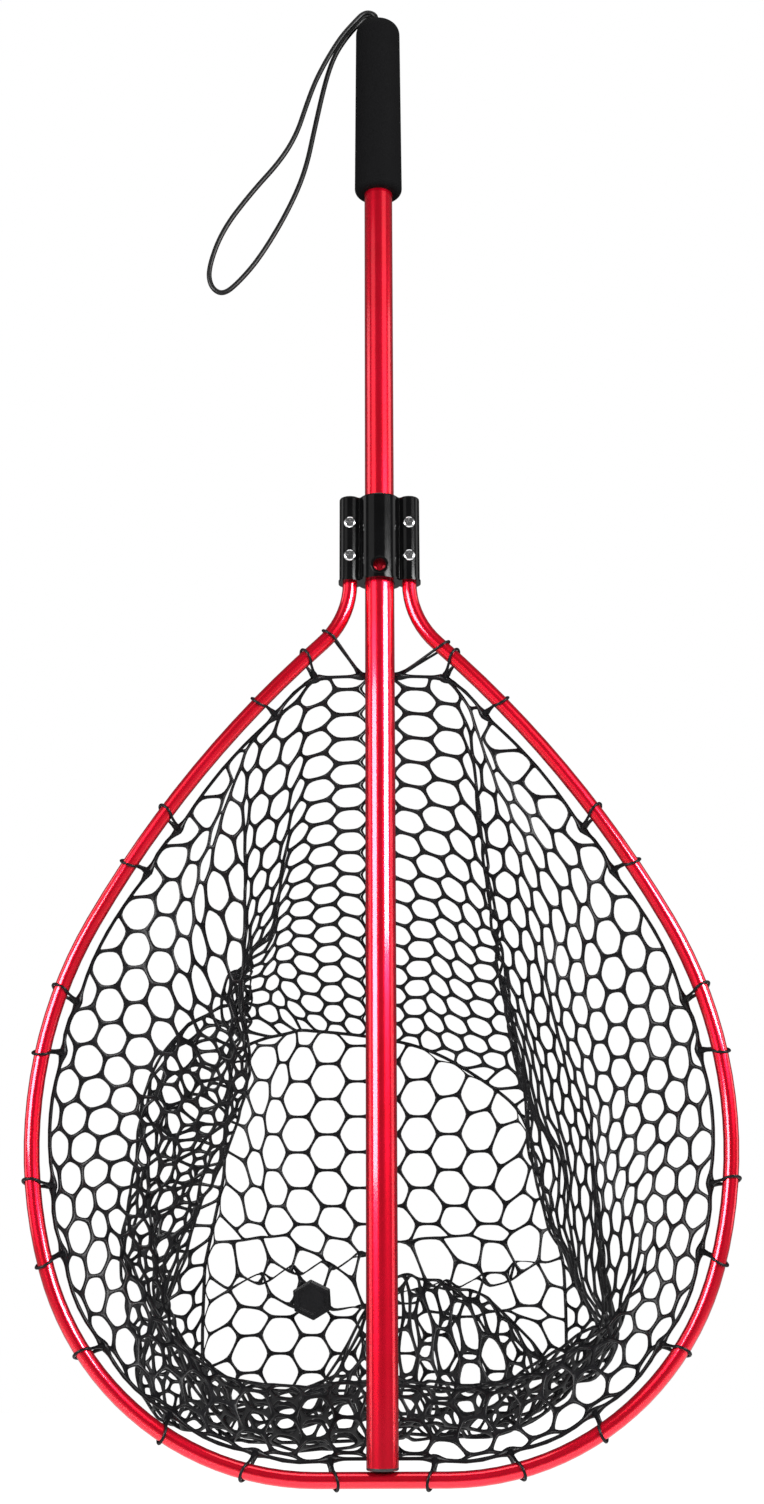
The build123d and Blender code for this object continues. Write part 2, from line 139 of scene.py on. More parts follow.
class Shader:
    """A Principled material with short ways to add the nodes that the finishes share."""

    def __init__(self, name, **sockets):
        self.material = bpy.data.materials.new(name)
        self.material.use_nodes = True
        self.nodes = self.material.node_tree.nodes
        self.links = self.material.node_tree.links
        self.surface = self.nodes["Principled BSDF"]
        for socket, value in sockets.items():
            self.surface.inputs[socket.replace("_", " ")].default_value = value

    def node(self, kind, **values):
        """A new node, with its settings or input values."""
        made = self.nodes.new(kind)
        for key, value in values.items():
            if hasattr(made, key):
                setattr(made, key, value)
            else:
                made.inputs[key.replace("_", " ")].default_value = value
        return made

    def place(self, stretch=(1, 1, 1)):
        """Object coordinates, stretched along each axis."""
        coordinates = self.node("ShaderNodeTexCoord")
        mapping = self.node("ShaderNodeMapping", Scale=stretch)
        self.links.new(coordinates.outputs["Object"], mapping.inputs["Vector"])
        return mapping.outputs["Vector"]

    def noise(self, scale, detail=4, stretch=(1, 1, 1)):
        made = self.node("ShaderNodeTexNoise", Scale=scale, Detail=detail)
        self.links.new(self.place(stretch), made.inputs["Vector"])
        return made.outputs["Fac"]

    def ramp(self, value, low, high, start=0.3, end=0.7):
        """Spreads a value between two colours."""
        made = self.node("ShaderNodeValToRGB")
        for element, position, colour in zip(made.color_ramp.elements, (start, end), (low, high)):
            element.position = position
            element.color = (*colour, 1)
        self.links.new(value, made.inputs["Fac"])
        return made.outputs["Color"]

    def spread(self, value, low, high):
        """Spreads a value from 0 to 1 between two numbers."""
        made = self.node("ShaderNodeMapRange")
        made.inputs["To Min"].default_value = low
        made.inputs["To Max"].default_value = high
        self.links.new(value, made.inputs["Value"])
        return made.outputs["Result"]

    def feed(self, output, socket):
        self.links.new(output, self.surface.inputs[socket])

    def bump(self, height, distance, strength=1.0):
        made = self.node("ShaderNodeBump", Strength=strength, Distance=distance)
        self.links.new(height, made.inputs["Height"])
        self.links.new(made.outputs["Normal"], self.surface.inputs["Normal"])


def red_anodised():
    """Dyed, drawn aluminium: faint lines along the tube and a slightly uneven dye."""
    s = Shader("red_anodised", Metallic=0.85, Coat_Weight=0.9, Coat_Roughness=0.08)
    s.feed(s.ramp(s.noise(35), (0.76, 0.000, 0.016), (0.88, 0.000, 0.026)), "Base Color")
    s.feed(s.spread(s.noise(90, stretch=(1, 1, 0.1)), 0.20, 0.27), "Roughness")
    s.bump(s.noise(400, 2), 0.00001, 0.05)
    return s.material


def foam():
    """Matt closed-cell foam with fine pores, its colour painted darker where they sink (painted shade), and a few
    larger dents.
    """
    s = Shader("foam", Specular_IOR_Level=0.06)
    pores_and_pore_shade = s.noise(1400, 3)
    # The base colour follows the pore noise, darker where the bump sinks: painted shade in the pores
    s.feed(s.ramp(pores_and_pore_shade, (0.0008, 0.0008, 0.0009), (0.003, 0.003, 0.0034)), "Base Color")
    s.feed(s.spread(s.noise(60), 0.70, 0.90), "Roughness")
    s.bump(pores_and_pore_shade, 0.0003, 0.6)
    return s.material


def plastic(name, colour, roughness, grain, shine=0.5):
    """Moulded plastic with a fine spark-eroded grain."""
    s = Shader(name, Specular_IOR_Level=shine)
    dark = tuple(0.7 * c for c in colour)
    s.feed(s.ramp(s.noise(80), dark, colour), "Base Color")
    s.feed(s.spread(s.noise(160), roughness * 0.8, roughness * 1.25), "Roughness")
    s.bump(s.noise(1100, 2), 0.00005, grain)
    return s.material


def metal(name, colour, roughness):
    """Plated or turned metal with faint handling marks."""
    s = Shader(name, Metallic=1.0)
    dull = tuple(0.82 * c for c in colour)
    s.feed(s.ramp(s.noise(300), dull, colour), "Base Color")
    s.feed(s.spread(s.noise(700), roughness * 0.6, roughness * 1.5), "Roughness")
    s.bump(s.noise(1500, 2), 0.00002, 0.3)
    return s.material


def net_rubber():
    """Satin moulded rubber, a little dusty and uneven along its strands."""
    s = Shader("net_rubber", Specular_IOR_Level=0.16)
    s.feed(s.ramp(s.noise(45), (0.001, 0.001, 0.0014), (0.005, 0.005, 0.006)), "Base Color")
    s.feed(s.spread(s.noise(120), 0.26, 0.42), "Roughness")
    s.bump(s.noise(900, 3), 0.0002, 0.4)
    return s.material


def cord_finish():
    """Smooth coated cord with the braid under it just showing."""
    s = Shader("lanyard_cord", Specular_IOR_Level=0.25)
    ridges = s.node("ShaderNodeTexVoronoi", Scale=700)
    s.links.new(s.place((1, 1, 0.6)), ridges.inputs["Vector"])
    s.feed(s.ramp(ridges.outputs["Distance"], (0.003,) * 3, (0.001,) * 3), "Base Color")
    s.feed(s.spread(s.noise(200), 0.36, 0.5), "Roughness")
    s.bump(ridges.outputs["Distance"], 0.0001, 0.15)
    return s.material


FINISHES = {
    "red_anodised": red_anodised(),
    "foam": foam(),
    "black_plastic": plastic("black_plastic", (0.014, 0.014, 0.015), 0.42, 0.5),
    "yoke_plastic": plastic("yoke_plastic", (0.002, 0.002, 0.0022), 0.10, 0.06, 0.22),
    "spring_steel": metal("spring_steel", (0.62, 0.62, 0.64), 0.3),
    "button_brass": metal("button_brass", (0.80, 0.62, 0.30), 0.2),
    "screw_steel": metal("screw_steel", (0.82, 0.82, 0.83), 0.16),
    "bush_nylon": plastic("bush_nylon", (0.72, 0.71, 0.66), 0.45, 0.3),
    "lanyard_cord": cord_finish(),
    "net_rubber": net_rubber(),
}


def finish_cad_nodes():
    """Gives each CAD node the finish of its material slot."""
    for subpart in frame["record"]["subparts"]:
        node = frame["nodes"][subpart["node"]]
        node.data.materials.clear()
        node.data.materials.append(FINISHES[subpart["material_slot"]])


def make_bending_spring():
    """The snap spring's own shape, copied into a piece of its own in place of the CAD node."""
    leaf = bpy.data.objects.new("spring_leaf", frame["nodes"]["snap_spring"].data.copy())
    SCENE.collection.objects.link(leaf)
    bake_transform(leaf)
    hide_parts("snap_spring")


finish_cad_nodes()
lanyard.data.materials.append(FINISHES["lanyard_cord"])
make_bending_spring()


# ---------------------------------------------------------------- hoop line and border

def hoop_place(distance):
    """(centre, direction) on the right half of the hoop, measured from the end of its bend."""
    x, z = LEG_X, YOKE_BOTTOM
    heading = 0.0
    distance += HOOP_ARCS[0][0] * math.radians(HOOP_ARCS[0][1])
    for radius, turn in HOOP_ARCS:
        share = min(1.0, distance / (radius * math.radians(abs(turn))))
        side = math.copysign(1, turn)
        end = heading + math.radians(turn) * share
        x += side * radius * (math.cos(heading) - math.cos(end))
        z -= side * radius * (math.sin(end) - math.sin(heading))
        heading = end
        distance -= radius * math.radians(abs(turn)) * share
    x += distance * math.sin(heading)
    z -= distance * math.cos(heading)
    return Vector((x, 0, z)), Vector((math.sin(heading), 0, -math.cos(heading)))


def mirrored(point):
    return Vector((-point[0], point[1], point[2]))


def border_node(distance, inset):
    """A point of the bag's border beside the hoop, right side."""
    centre, along = hoop_place(distance)
    inward = Vector((along.z, 0, -along.x))
    return centre + inward * inset + Vector((0, MOUTH_Y, 0))


def along_line(points, count):
    """Points at even steps along a closed line, starting at its first point."""
    line = np.array([*points, points[0]], float)
    steps = np.linalg.norm(np.diff(line, axis=0), axis=1)
    reached = np.concatenate([[0], np.cumsum(steps)])
    at = np.arange(count) * reached[-1] / count
    return np.stack([np.interp(at, reached, line[:, k]) for k in range(3)], axis=1)


def smooth_line(points, count, rounds=1):
    """Even steps along a closed line whose corners are cut, so that they turn gently."""
    line = np.array(points, float)
    for _ in range(rounds):
        after = np.roll(line, -1, axis=0)
        line = np.stack([0.75 * line + 0.25 * after, 0.25 * line + 0.75 * after], axis=1).reshape(-1, 3)
    start = np.argmin(np.abs(line[:, 0]) + 10 * (line[:, 2] < line[:, 2].mean()))
    return along_line(np.roll(line, -start, axis=0), count)


# ---------------------------------------------------------------- bag surface

MOUTH_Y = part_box("net_wall")[0].y
PANEL_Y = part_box("net_panel")[0].y

# The border's distance inside the hoop's line, at the loops and more between them, and its top
BORDER_INSET = 0.0128
BORDER_EASE = 0.0028
BORDER_TOP = FLOOR_Z + 0.578
BORDER_HALF_GAP = 0.014

# Moulded cells of the wall, and the steps of the cloth grid round it and down it
CELL = 0.0245
COLUMNS = 72
ROWS = 16.5
WALL_DEPTH = ROWS * CELL
AROUND = 2 * COLUMNS
DEEP = 34
GATHER_ROWS = 12

# The wall starts folded back on itself by this much each side, more at the left shoulder. The
# lag leaves more rows in front of the fold, and the left side stands out by the bulge.
PLEAT_LEFT = 0.062
PLEAT_RIGHT = 0.028
PLEAT_LAG = 1.30
BULGE_LEFT = 0.020
PLEAT_SHOULDER = 0.48
SHOULDER_TURN = 5.15
SHOULDER_WIDTH = 0.36

# Its lower part starts lifted in waves, and all of it ripples
LIFT = 0.050
RIPPLE = 0.004

# It settles for this many frames, with the seam held above this height
HANG_FRAMES = 50
SEAM_HELD_ABOVE = 0.09

# The ground as (from, to, points) each way, the gap that the cloth keeps to it, and where it starts
GROUND_X = (-0.35, 0.35, 71)
GROUND_Y = (-0.10, 0.40, 51)
GROUND_GAP = 0.002
CLOTH_LIFT = 0.004

# Moulded cells of the panel, the step of its cloth triangles, and how far both are laid out
PANEL_CELL = 0.029
PANEL_STEP = 0.011
PANEL_REACH = 0.2

# The seam between wall and panel as (x, height above the floor), clockwise from the top
SEAM = ((0.0, 0.336), (0.055, 0.325), (0.108, 0.292), (0.134, 0.268), (0.146, 0.20), (0.150, 0.10),
        (0.145, 0.035), (0.07, 0.010), (-0.06, 0.010), (-0.136, 0.014), (-0.146, 0.06),
        (-0.144, 0.17), (-0.141, 0.29), (-0.134, 0.331), (-0.06, 0.341))

# The panel is cut longer than the seam is high, so that it slumps
PANEL_SLACK = 1.17
SLUMP_FROM = 0.165
SLUMP_LENGTH = 0.120
SLUMP_FOLDS = 2
SLUMP_FOLD_HEIGHT = 0.019
SLUMP_FOLD_DEPTH = 0.013

# A fold gathers the panel about this line, as (height, x), by this much each side. It starts
# between the first two heights.
FOLD_STARTS = (0.15, 0.22)
FOLD_HEIGHTS = (0.19, 0.24, 0.29, 0.34)
FOLD_XS = (-0.094, -0.100, -0.092, -0.068)
FOLD_GATHER = 0.013
FOLD_WIDTH = 0.02
FOLD_DEPTH = 0.012

# Creases run down from the top of the border, as (height, x). The left one ends at the panel's
# upper corner and the right one goes on down the panel's side.
CREASE_HEIGHTS = (0.10, 0.20, 0.28, 0.34, 0.39, 0.47, 0.53, 0.60)
CREASE_LEFT = (-0.142, -0.142, -0.142, -0.141, -0.134, -0.116, -0.098, -0.062)
CREASE_RIGHT = (0.162, 0.149, 0.133, 0.118, 0.104, 0.091, 0.075, 0.052)

# Each crease as (side, line, lowest height, gather). It starts over a short rise, and fades at
# the heights to the strengths given.
CREASES = ((-1, CREASE_LEFT, 0.28, 0.017), (1, CREASE_RIGHT, 0.10, 0.021))
CREASE_WIDTH = 0.018
CREASE_REACH = 0.06
CREASE_DEPTH = 0.045
CREASE_FRONT = 0.022
CREASE_START = 0.08
CREASE_FADE = ((0.54, 0.58), (1, 0.3))


def border_points():
    right = [Vector((BORDER_HALF_GAP, MOUTH_Y, BORDER_TOP))]
    for start, end in zip(LOOP_PLACES, (*LOOP_PLACES[1:], LOOP_PLACES[-1])):
        steps = 6 if end > start else 1
        for k in range(steps):
            share = k / steps
            ease = BORDER_EASE * 4 * share * (1 - share)
            right.append(border_node(start + (end - start) * share, BORDER_INSET - ease))
    left = [mirrored(p) for p in reversed(right)]
    top = Vector((0, MOUTH_Y, BORDER_TOP))
    return along_line([top, *right, *left], AROUND)


def seam_points():
    return smooth_line([(x, PANEL_Y, FLOOR_Z + h) for x, h in SEAM], AROUND, rounds=2)


def gathered(places):
    """The same places, drawn in towards the panel's upright fold."""
    drawn = np.array(places)
    height = drawn[..., 2] - FLOOR_Z
    from_fold = drawn[..., 0] - np.interp(height, FOLD_HEIGHTS, FOLD_XS)
    firm = np.interp(height, FOLD_STARTS, (0, 1))
    on_panel = drawn[..., 1] > PANEL_Y - 1e-4
    drawn[..., 0] -= firm * FOLD_GATHER * np.tanh(from_fold / FOLD_WIDTH)
    drawn[..., 1] -= on_panel * firm * FOLD_DEPTH * np.exp(-(from_fold / FOLD_WIDTH)**2)
    return drawn


def creased(row):
    """A ring of the wall, drawn in towards its two creases and pulled forward outside them."""
    height = row[:, 2] - FLOOR_Z
    fading = np.interp(height, *CREASE_FADE)
    for side, line, bottom, gather in CREASES:
        firm = np.interp(height, (bottom, bottom + CREASE_START), (0, 1)) * fading
        outside = side * (row[:, 0] - np.interp(height, CREASE_HEIGHTS, line))
        near = firm * np.exp(-(outside / CREASE_REACH)**2)
        row[:, 0] -= side * near * gather * np.tanh(outside / CREASE_WIDTH)
        row[:, 1] -= firm * CREASE_DEPTH * np.exp(-((outside - CREASE_FRONT) / CREASE_FRONT)**2)
    return row


def ground_height(x, y):
    """Height above the floor of the ground that the crumpled lower wall rests on: three wavy
    ridges across the bag, and a mound right of the handle with a lower one beside it."""
    front = (0.022 + 0.010 * np.sin(37 * x)) * np.exp(-((y - 0.080 - 0.3 * x**2) / 0.020)**2)
    middle = (0.036 + 0.012 * np.sin(29 * x + 2)) * np.exp(-((y - 0.132 - 0.2 * x**2) / 0.020)**2)
    back = (0.050 + 0.012 * np.sin(31 * x + 1)) * np.exp(-((y - 0.188) / 0.024)**2)
    mound = 0.074 * np.exp(-((x - 0.040) / 0.070)**4 - ((y - 0.195) / 0.035)**2)
    mound += 0.045 * np.exp(-((x - 0.125) / 0.035)**2 - ((y - 0.180) / 0.035)**2)
    return (front + middle + back + mound) * np.exp(-(x / 0.16)**6)


def wall_start(border, seam):
    """Start places of the wall's grid, pleated and lifted so that the fabric has room to fall."""
    places = np.zeros((DEEP + 1, AROUND, 3))
    turn = np.arange(AROUND) / AROUND * math.tau
    middle = np.array([0, 0, FLOOR_Z + 0.25])
    for j in range(DEEP + 1):
        t = j / DEEP
        row = (1 - t) * border + t * seam
        out = row - middle
        out[:, 1] = 0
        out /= np.linalg.norm(out, axis=1)[:, None]
        side = np.abs(np.sin(turn)) ** 1.5 * np.where(turn < math.pi, PLEAT_RIGHT, PLEAT_LEFT)
        side *= 1 + PLEAT_SHOULDER * np.exp(-((turn - SHOULDER_TURN) / SHOULDER_WIDTH)**2)
        pleat = -np.sin(math.tau * t**PLEAT_LAG) * side
        pleat += BULGE_LEFT * math.sin(math.pi * t) * np.abs(np.sin(turn)) * (turn > math.pi)
        ripple = RIPPLE * np.sin(9 * turn + 5 * t) * math.sin(math.pi * t)
        row = row + out * (pleat + ripple)[:, None]
        low = 0.5 - 0.5 * np.cos(turn)
        row[:, 2] += LIFT * math.sin(1.5 * math.tau * t) ** 2 * low**3
        if 0 < j < DEEP:
            row = creased(row)
            row[:, 1] = np.maximum(row[:, 1], MOUTH_Y)
        places[j] = row
    lumps = ground_height(places[:, :, 0], places[:, :, 1])
    places[:, :, 2] = np.maximum(places[:, :, 2], FLOOR_Z + lumps + CLOTH_LIFT)
    return places


def seam_flat(seam):
    """The seam's own outline as flat (x, y) places about its middle."""
    flat = seam[:, (0, 2)].copy()
    flat -= flat.mean(axis=0)
    flat[:, 1] *= PANEL_SLACK
    return flat


def inside_by(edge, point):
    """How far a flat point lies inside a closed outline, negative outside it."""
    start, end = edge, np.roll(edge, -1, axis=0)
    along = end - start
    share = np.clip(((point - start) * along).sum(axis=1) / (along**2).sum(axis=1), 0, 1)
    gaps = np.linalg.norm(start + share[:, None] * along - point, axis=1)
    crossed = (start[:, 1] > point[1]) != (end[:, 1] > point[1])
    rise = np.where(along[:, 1] == 0, 1, along[:, 1])
    cut = start[:, 0] + (point[1] - start[:, 1]) / rise * along[:, 0]
    odd = np.count_nonzero(crossed & (point[0] < cut)) % 2
    nearest = np.argmin(gaps)
    return (gaps[nearest] if odd else -gaps[nearest]), (start + share[:, None] * along)[nearest]


def panel_flat(edge):
    """Flat places and triangles of the panel, its edge first."""
    rise = PANEL_STEP * math.sin(math.radians(60))
    count = int(PANEL_REACH / PANEL_STEP)
    inner = [np.array([(i + 0.5 * (j % 2)) * PANEL_STEP, j * rise])
             for j in range(-count, count + 1) for i in range(-count, count + 1)]
    inner = [p for p in inner if inside_by(edge, p)[0] > 0.7 * PANEL_STEP]
    flat = [Vector(p) for p in [*edge, *inner]]
    ring = [(i, (i + 1) % AROUND) for i in range(AROUND)]
    made = geometry.delaunay_2d_cdt(flat, ring, [], 1, 1e-7)
    number = {i: olds[0] for i, olds in enumerate(made[3]) if olds}
    triangles = [tuple(number[i] for i in face) for face in made[2]]
    return np.array([tuple(p) for p in flat]), triangles


def panel_start(flat, seam):
    """Start places of the panel. What it has too much lies in folds low down, which slump."""
    middle = seam[:, (0, 2)].mean(axis=0)
    edge = flat[:AROUND]
    loose = np.array([np.interp(inside_by(edge, p)[0], (0.004, 0.030), (0, 1)) for p in flat])
    loose[:AROUND] = 0
    down = edge[:, 1].max() - flat[:, 1]
    spare = edge[:, 1].max() * (1 - 1 / PANEL_SLACK) * 2
    into = np.clip((down - SLUMP_FROM) / SLUMP_LENGTH, 0, 1)
    turn = math.tau * (SLUMP_FOLDS * into + 1.1 * np.sin(7 * flat[:, 0] + 0.5))
    window = np.sin(math.pi * into)
    height = flat[:, 1] + spare * into + SLUMP_FOLD_HEIGHT * np.sin(turn) * window
    height += edge[:, 1].max() / PANEL_SLACK - edge[:, 1].max()
    even = flat[:, 1] / PANEL_SLACK
    z = middle[1] + loose * height + (1 - loose) * even
    y = PANEL_Y - loose * window * SLUMP_FOLD_DEPTH * (1 - np.cos(turn))
    return gathered(np.stack([flat[:, 0] + middle[0], y, np.maximum(z, FLOOR_Z + CLOTH_LIFT)], axis=1))


def wall_rest(edge):
    """The wall's natural shape: a tube in the seam's outline, wider towards the border."""
    wide = COLUMNS * CELL * math.cos(math.radians(30))
    grown = wide / np.linalg.norm(np.roll(edge, -1, axis=0) - edge, axis=1).sum()
    radius = np.linalg.norm(edge, axis=1).mean()
    step = WALL_DEPTH / DEEP
    places, depth = [], 0.0
    for j in range(DEEP + 1):
        share = min(1.0, (DEEP - j) / GATHER_ROWS)
        before = min(1.0, (DEEP - j + 1) / GATHER_ROWS)
        if j:
            depth += math.sqrt(step**2 - (radius * (grown - 1) * (before - share))**2)
        size = 1 + (grown - 1) * share
        places.append(np.stack([size * edge[:, 0], np.full(AROUND, depth), size * edge[:, 1]], axis=1))
    return np.array(places)


def make_ground():
    """The uneven ground under the bag while it settles."""
    xs, ys = np.linspace(*GROUND_X), np.linspace(*GROUND_Y)
    x, y = np.meshgrid(xs, ys)
    places = np.stack([x, y, FLOOR_Z + ground_height(x, y)], axis=2).reshape(-1, 3)
    wide = len(xs)
    faces = [(j * wide + i, j * wide + i + 1, (j + 1) * wide + i + 1, (j + 1) * wide + i)
             for j in range(len(ys) - 1) for i in range(wide - 1)]
    mesh = bpy.data.meshes.new("ground")
    mesh.from_pydata([tuple(p) for p in places], [], faces)
    ground = bpy.data.objects.new("ground", mesh)
    SCENE.collection.objects.link(ground)
    return ground


def hang_bag(wall, panel, triangles, flat):
    """Lets the bag hang from its border and the top of its seam, down onto the uneven ground."""
    ring = np.arange(AROUND)
    inner = len(wall.reshape(-1, 3))
    start = np.concatenate([wall.reshape(-1, 3), panel[AROUND:]])
    rest_wall = wall_rest(flat[:AROUND])
    rest_panel = np.stack([flat[AROUND:, 0], np.full(len(flat) - AROUND, rest_wall[-1, 0, 1]),
                           flat[AROUND:, 1]], axis=1)
    rest = np.concatenate([rest_wall.reshape(-1, 3), rest_panel])
    faces = []
    for j in range(DEEP):
        for i in ring:
            k = (i + 1) % AROUND
            faces.append((j * AROUND + i, j * AROUND + k, (j + 1) * AROUND + k, (j + 1) * AROUND + i))
    seam_from = DEEP * AROUND
    for face in triangles:
        faces.append(tuple(seam_from + i if i < AROUND else inner + i - AROUND for i in face))
    mesh = bpy.data.meshes.new("bag_cloth")
    mesh.from_pydata([tuple(p) for p in start], [], faces)
    cloth = bpy.data.objects.new("bag_cloth", mesh)
    SCENE.collection.objects.link(cloth)
    cloth.shape_key_add(name="Basis")
    key = cloth.shape_key_add(name="natural")
    key.data.foreach_set("co", rest.ravel())

    pins = cloth.vertex_groups.new(name="held")
    pins.add([int(i) for i in ring], 1.0, "REPLACE")
    seam_heights = start[seam_from:seam_from + AROUND, 2] - FLOOR_Z
    pins.add([int(seam_from + i) for i in ring if seam_heights[i] > SEAM_HELD_ABOVE], 1.0, "REPLACE")

    ground = make_ground()
    ground.modifiers.new("Collision", "COLLISION")
    ground.collision.thickness_outer = GROUND_GAP
    ground.collision.cloth_friction = 20

    modifier = cloth.modifiers.new("Cloth", "CLOTH")
    settings = modifier.settings
    settings.quality = 6
    settings.mass = 0.15
    settings.tension_stiffness = settings.compression_stiffness = 60
    settings.shear_stiffness = 8
    settings.bending_stiffness = 1.5
    settings.tension_damping = settings.compression_damping = settings.shear_damping = 10
    settings.air_damping = 1
    settings.vertex_group_mass = "held"
    settings.rest_shape_key = key
    modifier.collision_settings.distance_min = GROUND_GAP
    modifier.collision_settings.collision_quality = 2
    modifier.collision_settings.use_self_collision = False
    modifier.point_cache.frame_start = 1
    modifier.point_cache.frame_end = HANG_FRAMES
    for step in range(1, HANG_FRAMES + 1):
        SCENE.frame_set(step)
    hung = cloth.evaluated_get(bpy.context.evaluated_depsgraph_get())
    places = np.zeros(len(start) * 3)
    hung.data.vertices.foreach_get("co", places)
    places = places.reshape(-1, 3)
    SCENE.frame_set(1)
    bpy.data.objects.remove(cloth)
    bpy.data.objects.remove(ground)
    wall = places[:inner].reshape(DEEP + 1, AROUND, 3)
    return wall, np.concatenate([wall[-1], places[inner:]])


# ---------------------------------------------------------------- moulded mesh

# Half the width of a strand between cells, how much of a side its rounded corners take, and thickness
STRAND_HALF = 0.00125
WALL_WEB = 0.21
MESH_T = 0.0023
PANEL_STRAND_HALF = 0.00105
PANEL_WEB = 0.16
PANEL_MESH_T = 0.0019

# Border and seam strands, and the loops that hold the border to the hoop, thicker at their knots
BORDER_R = 0.0013
BORDER_STEPS = 720
SEAM_R = 0.0014
LOOP_R = 0.00105
LOOP_SPLAY = 0.006
LOOP_GAP = 0.0001
KNOT_EXTRA = 0.0021
KNOT_REACH = 0.0055
TOP_LOOPS = ((True, 0.0045), (False, -0.011))
TOP_SPLAY = 0.002

# The disc's rings as (radius, height), and how far it is turned in degrees
DISC_TURN = 8
DISC_RINGS = ((0.0165, -0.0012), (0.0172, -0.0005), (0.0172, 0.0008), (0.0160, 0.0016),
              (0.0120, 0.0016), (0.0115, 0.0011))
DISC_ARM = 0.012
DISC_EDGE = 0.0004


class CellMesh:
    """A moulded mesh of hexagonal cells. Each cell is a ring of faces between its outline,
    which it shares with its neighbours, and its opening, whose corners are webbed."""

    def __init__(self, strand, web):
        self.mesh = bmesh.new()
        self.strand = strand
        self.web = web
        self.shared = {}

    def point(self, key, place):
        if key not in self.shared:
            self.shared[key] = self.mesh.verts.new(place)
        return self.shared[key]

    def cell(self, keys, places):
        """One cell from its corners. Corners that coincide are taken as one."""
        kept = [i for i in range(len(keys)) if keys[i] != keys[i - 1]]
        if len(kept) < 3:
            return
        keys = [keys[i] for i in kept]
        corners = [Vector(places[i]) for i in kept]
        middle = sum(corners, Vector()) / len(corners)
        sides = []
        for n, (start, key) in enumerate(zip(corners, keys)):
            end, end_key = corners[(n + 1) % len(corners)], keys[(n + 1) % len(corners)]
            along = end - start
            towards = middle - (start + end) / 2
            if along.length > 1e-6:
                towards -= along * (towards.dot(along) / along.length_squared)
            inward = towards.normalized() * min(self.strand, 0.45 * towards.length)
            near, far = start + along * self.web, end - along * self.web
            sides.append((self.point((key, end_key), near), self.point((end_key, key), far),
                          self.mesh.verts.new(far + inward), self.mesh.verts.new(near + inward)))
        for n, side in enumerate(sides):
            before = sides[n - 1]
            corner = self.point(keys[n], corners[n])
            self.mesh.faces.new(side)
            self.mesh.faces.new((corner, side[0], side[3], before[2], before[1]))

    def finished(self, name, thickness):
        data = bpy.data.meshes.new(name)
        self.mesh.normal_update()
        self.mesh.to_mesh(data)
        self.mesh.free()
        piece = bpy.data.objects.new(name, data)
        SCENE.collection.objects.link(piece)
        solid = piece.modifiers.new("Thickness", "SOLIDIFY")
        solid.thickness = thickness
        solid.offset = 0
        rounding = piece.modifiers.new("Rounding", "SUBSURF")
        rounding.levels = rounding.render_levels = 1
        data.shade_smooth()
        return piece


def tube(name, lines, radius, closed, knots=(), sides=8):
    """Round strands swept along lines of points, all in one piece, thicker near the knots."""
    vertices, faces = [], []
    for line in lines:
        points = np.array(line, float)
        count = len(points)
        if closed:
            along = np.roll(points, -1, axis=0) - np.roll(points, 1, axis=0)
        else:
            along = np.gradient(points, axis=0)
        along /= np.linalg.norm(along, axis=1)[:, None]
        across = np.cross(along[0], (0.3, 0.2, 1.0))
        first = len(vertices)
        thick = np.full(count, radius)
        for knot in knots:
            gap = np.linalg.norm(points - np.array(knot), axis=1)
            thick = np.maximum(thick, radius + KNOT_EXTRA * np.exp(-(gap / KNOT_REACH)**2))
        for k in range(count):
            across = across - along[k] * np.dot(across, along[k])
            across /= np.linalg.norm(across)
            third = np.cross(along[k], across)
            for s in range(sides):
                turn = math.tau * s / sides
                around = math.cos(turn) * across + math.sin(turn) * third
                vertices.append(points[k] + thick[k] * around)
        for k in range(count if closed else count - 1):
            here, there = first + k * sides, first + (k + 1) % count * sides
            shift = 0
            if closed and k == count - 1:
                gaps = [np.linalg.norm(vertices[here] - vertices[there + s]) for s in range(sides)]
                shift = int(np.argmin(gaps))
            for s in range(sides):
                t = (s + 1) % sides
                ahead = there + (t + shift) % sides
                faces.append((here + s, here + t, ahead, there + (s + shift) % sides))
        if not closed:
            faces.append(tuple(range(first, first + sides))[::-1])
            faces.append(tuple(range(first + (count - 1) * sides, first + count * sides)))
    mesh = bpy.data.meshes.new(name)
    mesh.from_pydata([tuple(v) for v in vertices], [], faces)
    mesh.shade_smooth()
    piece = bpy.data.objects.new(name, mesh)
    SCENE.collection.objects.link(piece)
    return piece


def wall_lookup(wall):
    """A function from (columns round, depth) in natural lengths to a place on the wall."""
    def place(column, depth):
        u = column / COLUMNS * AROUND
        v = min(max(depth / WALL_DEPTH, 0), 1) * DEEP
        i, j = math.floor(u), min(math.floor(v), DEEP - 1)
        a, b = u - i, v - j
        i, k = i % AROUND, (i + 1) % AROUND
        near = (1 - a) * wall[j, i] + a * wall[j, k]
        far = (1 - a) * wall[j + 1, i] + a * wall[j + 1, k]
        return (1 - b) * near + b * far
    return place


def wall_cells(wall, name, columns):
    """The cells of some of the wall's columns, every second column half a cell deeper."""
    place = wall_lookup(wall)
    mesh = CellMesh(STRAND_HALF, WALL_WEB)
    for column in columns:
        shift = 0.5 if column % 2 == 0 else 0
        for row in range(int(ROWS) + 1):
            keys, places = [], []
            for across, deep in ((-4, 0), (-2, 0.5), (2, 0.5), (4, 0), (2, -0.5), (-2, -0.5)):
                depth = min(max((row + shift + deep) * CELL, 0), WALL_DEPTH)
                keys.append(((6 * column + across) % (6 * COLUMNS), round(depth * 1e5)))
                places.append(place(column + across / 6, depth))
            mesh.cell(keys, places)
    return mesh.finished(name, MESH_T)


